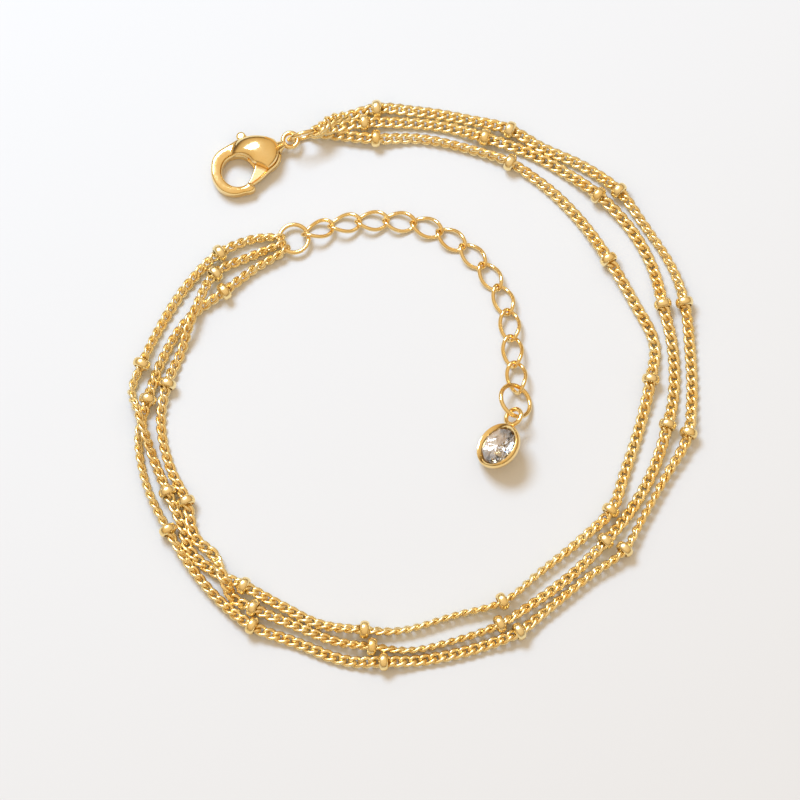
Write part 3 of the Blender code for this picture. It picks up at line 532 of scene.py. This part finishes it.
# Angle about the hole, the shell's inner and outer radius, its underside and the hook's height, how square its
# section is, and how much of the chamfer round the hole it has
SHELL_ROWS = (
    (-30.5, 3.12, 3.28, 1.62, 1.70, 0.8, 0), (-27.0, 2.86, 3.56, 1.62, 1.70, 0.7, 0),
    (-21.0, 2.40, 4.03, 1.62, 1.70, 0.6, 0), (-14.0, 1.98, 4.48, 1.62, 1.70, 0.55, 0),
    (-7.0, 1.76, 4.82, 1.62, 1.70, 0.55, 0), (1.0, 1.70, 5.08, 1.62, 1.70, 0.55, 0),
    (8.0, 1.70, 5.14, 1.62, 1.70, 0.55, 0), (16.4, 1.70, 4.82, 1.62, 1.70, 0.55, 0),
    (28.6, 1.70, 4.34, 1.62, 1.70, 0.55, 0), (42.2, 1.70, 3.87, 1.62, 1.70, 0.55, 0),
    (54.7, 1.70, 3.52, 1.60, 1.70, 0.55, 0), (64.0, 1.70, 3.30, 1.40, 1.66, 0.52, 0.1),
    (74.0, 1.70, 3.18, 0.60, 1.62, 0.5, 0.3), (84.8, 1.70, 3.11, 0.10, 1.58, 0.48, 0.6),
    (101.4, 1.70, 3.13, 0.0, 1.54, 0.45, 1.0), (117.2, 1.70, 3.12, 0.0, 1.52, 0.42, 1.0),
    (141.0, 1.70, 2.94, 0.0, 1.50, 0.4, 1.0), (157.0, 1.70, 2.91, 0.0, 1.50, 0.4, 1.0),
    (174.6, 1.70, 2.87, 0.0, 1.50, 0.4, 1.0), (194.6, 1.70, 2.88, 0.0, 1.50, 0.4, 1.0),
    (215.2, 1.70, 2.82, 0.0, 1.50, 0.4, 1.0), (236.0, 1.70, 2.70, 0.0, 1.50, 0.4, 1.0),
    (256.6, 1.70, 2.60, 0.0, 1.48, 0.42, 0.8), (268.0, 1.70, 2.74, 0.0, 1.46, 0.45, 0.5),
    (276.0, 1.74, 2.78, 0.0, 1.44, 0.5, 0.2), (280.5, 2.26, 2.72, 0.06, 1.36, 0.6, 0),
    (284.0, 2.46, 2.62, 0.20, 1.16, 0.8, 0),
)
# The bulb's crown is the top of an oval ball: its middle, its three half axes and the height of its middle
CROWN_MIDDLE = (2.8, 0.35)
CROWN_REACH = (3.2, 2.95)
CROWN_RISE = 1.8
CROWN_LOW = 0.9
# Rows whose hook's height is below this limit have no crown; the blend rounds the line where hook and crown meet
CROWN_LIMIT = 1.4
CROWN_BLEND = 0.12
# Width and depth of the chamfer round the hole, and the least and the most that the section's edge rises, as a share
CHAMFER = 0.27
CHAMFER_DROP = 0.2
EDGE_SHARE = (0.18, 0.40)
FOOT_ROUNDNESS = 0.8
# The floor under the lever, and the low walls beside it: angle about the hole, and inner and outer radius
FLOOR_ROWS = (
    (-30.0, 2.9, 3.4), (-25.8, 2.5, 3.90), (-16.9, 1.9, 4.62), (-7.4, 1.72, 5.08), (0.0, 1.70, 5.26),
    (8.0, 1.70, 5.18), (16.4, 1.70, 4.80), (28.6, 1.70, 4.32), (42.2, 1.70, 3.85), (54.7, 1.70, 3.50),
    (67.9, 1.70, 3.20), (84.8, 1.70, 3.05),
)
INNER_WALL_ROWS = [(angle, 1.70, 2.35) for angle in (22.0, 36.0, 50.0, 64.0, 80.0)]
OUTER_WALL_ROWS = ((-4.0, 4.72, 5.06), (4.0, 4.76, 5.10), (11.0, 4.62, 4.96), (18.0, 4.36, 4.70))
SECTION_POINTS = 36
SHELL_STEPS = 8
WALL_STEPS = 6
# The eye: how far from the hole's middle it is, its height, and the radius and thickness of its wire
EYE_REACH = 6.6
EYE_HEIGHT = 1.17
EYE_RADIUS = 0.80
EYE_WIRE = 0.52
EYE_POINTS = 56
EYE_SIDES = 16
# The neck between bulb and eye: where it starts, and its radius at the eye and at the bulb
NECK_START = 4.85
NECK_RADII = (0.40, 0.82)
NECK_POINTS = 12
NECK_SIDES = 20


def clasp_to_world(points):
    """Points in the clasp's own millimetres, turned and moved to where the clasp lies, in metres."""
    turn = math.radians(CLASP_TURN)
    rotation = np.array([[math.cos(turn), -math.sin(turn), 0], [math.sin(turn), math.cos(turn), 0], [0, 0, 1]])
    return points @ rotation.T * MM + np.array([*CLASP_PLACE, 0.0])


def shell_rings(rows, steps):
    """Rings of a band round the hole. Across it runs a half oval from edge to edge over the top, and back below.

    The powers of the cosine and sine make an oval of 1 and a rounded box of nearly 0. The top follows the greater of
    the hook's height and the bulb's crown, the top of an oval ball, blended by the root of their squared distance.
    """
    table = smooth_curve(rows, steps)
    angle, inner, outer, low, top, square, chamfer = (table[:, k, None] for k in range(7))
    turn = np.arange(SECTION_POINTS) * 2 * math.pi / SECTION_POINTS
    cosine, sine = np.cos(turn)[None], np.sin(turn)[None]
    power = np.where(sine > 0, square, np.where(low > 1, square, FOOT_ROUNDNESS))
    across = 0.5 + 0.5 * np.sign(cosine) * np.abs(cosine) ** power
    radius = inner + (outer - inner) * across
    turned = np.radians(angle)
    x, y = radius * np.cos(turned), radius * np.sin(turned)
    ball = 1 - ((x - CROWN_MIDDLE[0]) / CROWN_REACH[0]) ** 2 - ((y - CROWN_MIDDLE[1]) / CROWN_REACH[1]) ** 2
    ball = CROWN_LOW + CROWN_RISE * np.sqrt(np.maximum(ball, 0.0))
    crown = np.where(top >= CROWN_LIMIT, (ball + top + np.hypot(ball - top, CROWN_BLEND)) / 2, top)
    crown = crown - CHAMFER_DROP * chamfer * np.clip(1 - (radius - inner) / CHAMFER, 0.0, 1.0)
    edge = low + (crown - low) * (EDGE_SHARE[0] + (EDGE_SHARE[1] - EDGE_SHARE[0]) * (1 - square))
    rise = np.where(sine > 0, crown - edge, edge - low) * np.sign(sine) * np.abs(sine) ** power
    return np.stack([x, y, edge + rise], axis=-1)


def box_rows(rows, low, high, square):
    """Rows of a plain band: angle, inner and outer radius, with one underside, top and squareness, no chamfer."""
    return [(*row, low, high, square, 0.0) for row in rows]


bands = (
    (SHELL_ROWS, SHELL_STEPS), (box_rows(FLOOR_ROWS, 0.0, 0.5, 0.35), WALL_STEPS),
    (box_rows(INNER_WALL_ROWS, 0.2, 1.3, 0.5), WALL_STEPS), (box_rows(OUTER_WALL_ROWS, 0.2, 1.8, 0.6), WALL_STEPS),
)
shapes = []
for rows, steps in bands:
    add_shape(shapes, clasp_to_world(shell_rings(rows, steps))[:, ::-1], wrap=False)
radial = round_the_axis(EYE_POINTS)
eye_path = radial * EYE_RADIUS + (EYE_REACH, 0.0, EYE_HEIGHT)
add_shape(shapes, clasp_to_world(wire_rings(eye_path, EYE_WIRE / 2, EYE_SIDES, radial)), wrap=True)
neck_path = np.linspace((NECK_START, 0.0, EYE_HEIGHT), (EYE_REACH - EYE_RADIUS, 0.0, EYE_HEIGHT), NECK_POINTS)
neck_radius = NECK_RADII[0] + (NECK_RADII[1] - NECK_RADII[0]) * np.linspace(1.0, 0.0, NECK_POINTS) ** 1.4
neck_up = np.tile((0.0, 0.0, 1.0), (NECK_POINTS, 1))
neck = wire_rings(neck_path, neck_radius, NECK_SIDES, neck_up, closed=False)
add_shape(shapes, clasp_to_world(neck), wrap=False)
make_piece("clasp_cast_body", shapes, polished_gold, "bracelet", ["clasp_body"])

# Clasp lever. A stamped brass lever that turns on the rivet: its gate closes the hook, and its arm ends in a
# thumb tab outside the bulb. Its flat top is brushed, with a fine groove inside a polished rim.
# Height of its underside and its top, and its two edges from the gate's tip round to the tab, in the clasp's plan
LEVER_LOW = 0.62
LEVER_HIGH = 1.52
LEVER_INNER = (
    (0.22, -1.72), (0.55, -1.56), (0.97, -1.25), (1.83, -0.49), (2.30, 0.15), (2.48, 0.9), (2.25, 1.9), (2.12, 2.8),
    (2.2, 3.2),
)
LEVER_OUTER = (
    (0.62, -2.24), (1.1, -2.22), (1.8, -2.13), (2.89, -1.86), (4.0, -1.60), (4.72, -0.98), (3.9, 0.9), (3.0, 2.3),
    (2.75, 3.2),
)
LEVER_STEPS = 8
# The thumb tab is a disc: its middle, its radius and half its thickness, and the way that its face looks
TAB_PLACE = (2.31, 3.14, 1.2)
TAB_SIZE = (0.52, 0.30)
TAB_FACE = (-0.08, 0.16, 0.98)
TAB_POINTS = 32
TAB_RINGS = 21
# The brushing: how far apart its lines are, their width as a share of their length, and the way that they run
BRUSH_SPACING = 0.09 * MM
BRUSH_STRETCH = 0.05
BRUSH_TURN = -8.0
# The most of the lever's width that its rounded edges take, and how far in its underside starts, in millimetres
EDGE_LIMIT = 0.45
FOOT_INSET = 0.12

# Brushed gold plate: drawn over fine abrasive in one direction, so its shine is duller and faintly streaked.
# The real lines are about 0.03 mm apart; these are drawn three times as coarse, so that they show close up.
brushed_gold, tree, shader = new_material("brushed_gold_plate")
shader.inputs["Base Color"].default_value = linear("#F8DDA6")
shader.inputs["Metallic"].default_value = 1.0
place = add_node(tree, "ShaderNodeTexCoord").outputs["Object"]
lined = add_node(tree, "ShaderNodeMapping", {
    "Vector": place, "Rotation": (0.0, 0.0, math.radians(BRUSH_TURN)),
    "Scale": (BRUSH_STRETCH / BRUSH_SPACING, 1.0 / BRUSH_SPACING, BRUSH_STRETCH / BRUSH_SPACING),
})
streaks = add_node(tree, "ShaderNodeTexNoise", {"Vector": lined.outputs["Vector"], "Scale": 1.0, "Detail": 5.0})
rubbed = add_node(tree, "ShaderNodeMapRange", {"Value": streaks.outputs["Fac"], "To Min": 0.18, "To Max": 0.25})
tree.links.new(rubbed.outputs["Result"], shader.inputs["Roughness"])
scored = add_node(tree, "ShaderNodeBump", {
    "Height": streaks.outputs["Fac"], "Distance": 0.01 * MM, "Strength": 0.08,
})
tree.links.new(scored.outputs["Normal"], shader.inputs["Normal"])

lever_inner = smooth_curve(LEVER_INNER, LEVER_STEPS)
lever_outer = smooth_curve(LEVER_OUTER, LEVER_STEPS)
width = np.linalg.norm(lever_outer - lever_inner, axis=1)
# The section, from the hole's side over the top to the rim and back below: where it is, in millimetres from the
# inner edge or back from the outer edge, and its height above or below the top and the underside
FROM_INNER = ((0.0, 0.14, 0), (0.0, -0.12, 1), (0.04, -0.04, 1), (0.12, 0.0, 1), (0.15, 0.0, 1))
FROM_OUTER = (
    (0.36, 0.0, 1), (0.34, 0.0, 1), (0.28, -0.12, 1), (0.22, -0.02, 1), (0.16, 0.0, 1), (0.06, -0.04, 1),
    (0.0, -0.16, 1), (0.0, 0.16, 0), (FOOT_INSET, 0.0, 0),
)
share = [np.minimum(inset / width, EDGE_LIMIT) for inset, _, _ in FROM_INNER]
share += [1.0 - np.minimum(inset / width, EDGE_LIMIT) for inset, _, _ in FROM_OUTER]
share.append(np.minimum(FOOT_INSET / width, EDGE_LIMIT))
share = np.stack(share, axis=1)[:, :, None]
heights = [(LEVER_LOW, LEVER_HIGH)[top] + lift for _, lift, top in (*FROM_INNER, *FROM_OUTER, (FOOT_INSET, 0.0, 0))]
plan = lever_inner[:, None] * (1 - share) + lever_outer[:, None] * share
section = np.concatenate([plan, np.broadcast_to(np.array(heights)[None, :, None], (*plan.shape[:2], 1))], axis=2)
shapes = []
add_shape(shapes, clasp_to_world(section), wrap=False)
slopes = np.radians(np.linspace(-88.0, 88.0, TAB_RINGS))[:, None, None]
# The disc's section is a rounded box: the powers of the cosine and the sine of a half turn
tab = round_the_axis(TAB_POINTS) * np.cos(slopes) ** 0.5 * TAB_SIZE[0]
tab = tab + (0.0, 0.0, 1.0) * np.sign(slopes) * np.abs(np.sin(slopes)) ** 0.8 * TAB_SIZE[1]
tab_axes = np.stack([unit(np.cross((0.0, 1.0, 0.0), TAB_FACE)), np.zeros(3), unit(TAB_FACE)])
tab_axes[1] = np.cross(tab_axes[2], tab_axes[0])
add_shape(shapes, clasp_to_world(tab @ tab_axes + TAB_PLACE), wrap=False)
lever = make_piece("clasp_gate_lever", shapes, polished_gold, "lever", ["clasp_lever"])
lever.data.materials.append(brushed_gold)
sides = len(heights)
top_faces = np.zeros(len(lever.data.polygons), dtype=np.int32)
top_faces[:(len(width) - 1) * sides].reshape(-1, sides)[:, len(FROM_INNER) - 1] = 1
lever.data.polygons.foreach_set("material_index", top_faces)

# Rivet. A plain brass pin through the shell and the lever, pressed in before plating. Only its foot shows, so
# the CAD solid stays and takes the same plate.
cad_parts["clasp_rivet"].data.materials.clear()
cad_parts["clasp_rivet"].data.materials.append(polished_gold)

# Drop setting. A cup turned from brass rod, with a rim rolled over the stone and a wall that narrows to its
# back. A bail of round wire is soldered on its side, where a small bead of solder shows.
CUP_RADIUS = 2.6
CUP_HEIGHT = 1.5
CUP_BACK_RADIUS = 1.6
SEAT_RADIUS = 2.1
SEAT_DEPTH = 0.75
BAIL_RADIUS = 0.9
BAIL_WIRE = 0.5
BAIL_GAP = 0.1
BAIL_POINTS = 48
BAIL_SIDES = 14
SOLDER_TURNS = 20
# The way that the bail's ring faces, before it is squared to the line from the cup
BAIL_UP = (-0.5, 0.24, 0.83)
CUP_TURNS = 72
# How far the stone's table stands above the cup's rim
STONE_TOP = 0.108

stone_corners = node_points("drop_stone")
cup_up = node_frame("drop_stone")[1][2]
cup_along = unit(np.cross(cup_up, (0.0, 0.0, 1.0)))
cup_along = cup_along * np.sign(cup_along[1])
cup_axes = np.stack([cup_along, np.cross(cup_up, cup_along), cup_up])
stone_reach = (stone_corners - stone_corners.mean(axis=0)) @ cup_axes.T
stone_middle = stone_corners.mean(axis=0) + (stone_reach.min(axis=0) + stone_reach.max(axis=0)) / 2 @ cup_axes
cup_middle = stone_middle + cup_up * ((stone_reach[:, 2].max() - stone_reach[:, 2].min()) / 2 - STONE_TOP * MM)


def cup_to_world(points):
    """Points in the cup's own millimetres, turned and moved to where the drop lies, in metres."""
    return points @ cup_axes * MM + cup_middle


def turned_rings(rows, count):
    """A profile of radius and height carried round the Z axis."""
    rows = np.asarray(rows, float)
    return round_the_axis(count)[None] * rows[:, None, :1] + np.array([0.0, 0.0, 1.0]) * rows[:, None, 1:]


cup_profile = smooth_curve((
    (0.05, -SEAT_DEPTH), (SEAT_RADIUS - 0.4, -SEAT_DEPTH), (SEAT_RADIUS - 0.2, -SEAT_DEPTH * 0.85),
    (SEAT_RADIUS, -SEAT_DEPTH * 0.5), (2.07, -0.2), (2.12, -0.12), (2.32, 0.06), (2.42, 0.1), (2.53, 0.0),
    (2.6, -0.2), (2.56, -0.5), (2.4, -0.83), (2.12, -1.1), (1.78, -1.33),
    (CUP_BACK_RADIUS - 0.08, -CUP_HEIGHT + 0.02), (1.3, -CUP_HEIGHT), (0.05, -CUP_HEIGHT),
), 4)
shapes = []
add_shape(shapes, cup_to_world(turned_rings(cup_profile, CUP_TURNS)[::-1]), wrap=False)
bail_middle = cup_middle + cup_axes.T @ (CUP_RADIUS + BAIL_RADIUS + BAIL_GAP, 0.0, -CUP_HEIGHT * 0.35) * MM
bail_side = unit(np.cross(BAIL_UP, cup_along))
turn = np.arange(BAIL_POINTS)[:, None] * 2 * math.pi / BAIL_POINTS
radial = np.cos(turn) * cup_along + np.sin(turn) * bail_side
bail_path = bail_middle + radial * BAIL_RADIUS * MM
add_shape(shapes, wire_rings(bail_path, BAIL_WIRE / 2 * MM, BAIL_SIDES, radial), wrap=True)
solder_profile = np.column_stack([
    np.array([0.03, 0.2, 0.32, 0.36, 0.38, 0.44, 0.5]), np.array([0.34, 0.3, 0.2, 0.0, -0.18, -0.34, -0.5]),
])
solder = turned_rings(solder_profile[::-1], SOLDER_TURNS)
solder_place = bail_middle - cup_along * (BAIL_RADIUS + BAIL_GAP) * MM
solder_axes = np.stack([np.cross(cup_up, cup_along), cup_up, cup_along])
add_shape(shapes, solder @ solder_axes * MM + solder_place, wrap=False)
make_piece("drop_cup_setting", shapes, polished_gold, "bracelet", ["drop_setting"])

# Stone. A round brilliant of cut crystal glass: a flat table, a ring of kite and star facets and a thin girdle.
# Its pavilion is silvered like a mirror, as such stones are, so that the shallow cup throws the light back up.
STONE_RADIUS = 2.06
TABLE_RADIUS = 1.12
STAR_RADIUS = 1.55
FOIL_GAP = 0.02
LACQUER_PATCH = 0.8 * MM

# Cut crystal glass: clear and polished by hand, so the facets have crisp edges and no haze
clear_stone, _, shader = new_material("cut_crystal_glass")
shader.inputs["Base Color"].default_value = linear("#FFFDFB")
shader.inputs["Roughness"].default_value = 0.0
shader.inputs["IOR"].default_value = 1.6
shader.inputs["Transmission Weight"].default_value = 1.0

# Silvering sealed with lacquer: a soft warm mirror, half scattering, whose tint drifts where the lacquer is thicker
silvering, tree, shader = new_material("lacquered_silver_backing")
shader.inputs["Metallic"].default_value = 0.5
shader.inputs["Roughness"].default_value = 0.16
place = add_node(tree, "ShaderNodeTexCoord").outputs["Object"]
lacquer = add_node(tree, "ShaderNodeTexNoise", {"Vector": place, "Scale": 1 / LACQUER_PATCH, "Detail": 2.0})
tint = add_node(tree, "ShaderNodeValToRGB", {"Fac": lacquer.outputs["Fac"]})
set_ramp(tint, [(0.35, linear("#F2E0D0")), (0.65, linear("#FFFAF4"))])
tree.links.new(tint.outputs["Color"], shader.inputs["Base Color"])

eighth = math.pi / 8
even = np.arange(16) * eighth


def stone_ring(radii, heights):
    """Sixteen points round the axis, whose radius and height go by turns between two values."""
    radius = np.where(np.arange(16) % 2 == 0, radii[0], radii[1])
    height = np.where(np.arange(16) % 2 == 0, heights[0], heights[1])
    return np.column_stack([radius * np.cos(even), radius * np.sin(even), height])


table_edge = TABLE_RADIUS * math.cos(eighth)
# Radii and heights of each ring's even and odd corners, from the stone's point up to its table
pavilion = [((0.16, 0.16), (-0.66, -0.66)), ((0.95, 1.05), (-0.46, -0.40)), ((1.9, 1.98), (-0.24, -0.28))]
crown = [
    ((STONE_RADIUS, STONE_RADIUS), (-0.20, -0.20)), ((STAR_RADIUS, STAR_RADIUS * 1.06), (-0.02, -0.05)),
    ((table_edge, TABLE_RADIUS), (0.1, 0.1)),
]
shapes = []
add_shape(shapes, cup_to_world(np.stack([stone_ring(*row) for row in pavilion + crown])), wrap=False)
make_piece("drop_brilliant_stone", shapes, clear_stone, "bracelet", ["drop_stone"], sharp=1.0)
foil_top = np.stack([stone_ring(*row) for row in pavilion]) - (0.0, 0.0, FOIL_GAP)
foil_back = foil_top - (0.0, 0.0, FOIL_GAP)
shapes = []
add_shape(shapes, cup_to_world(np.concatenate([foil_back, foil_top[::-1]])), wrap=False)
make_piece("drop_stone_silvering", shapes, silvering, "bracelet", [], sharp=1.0)
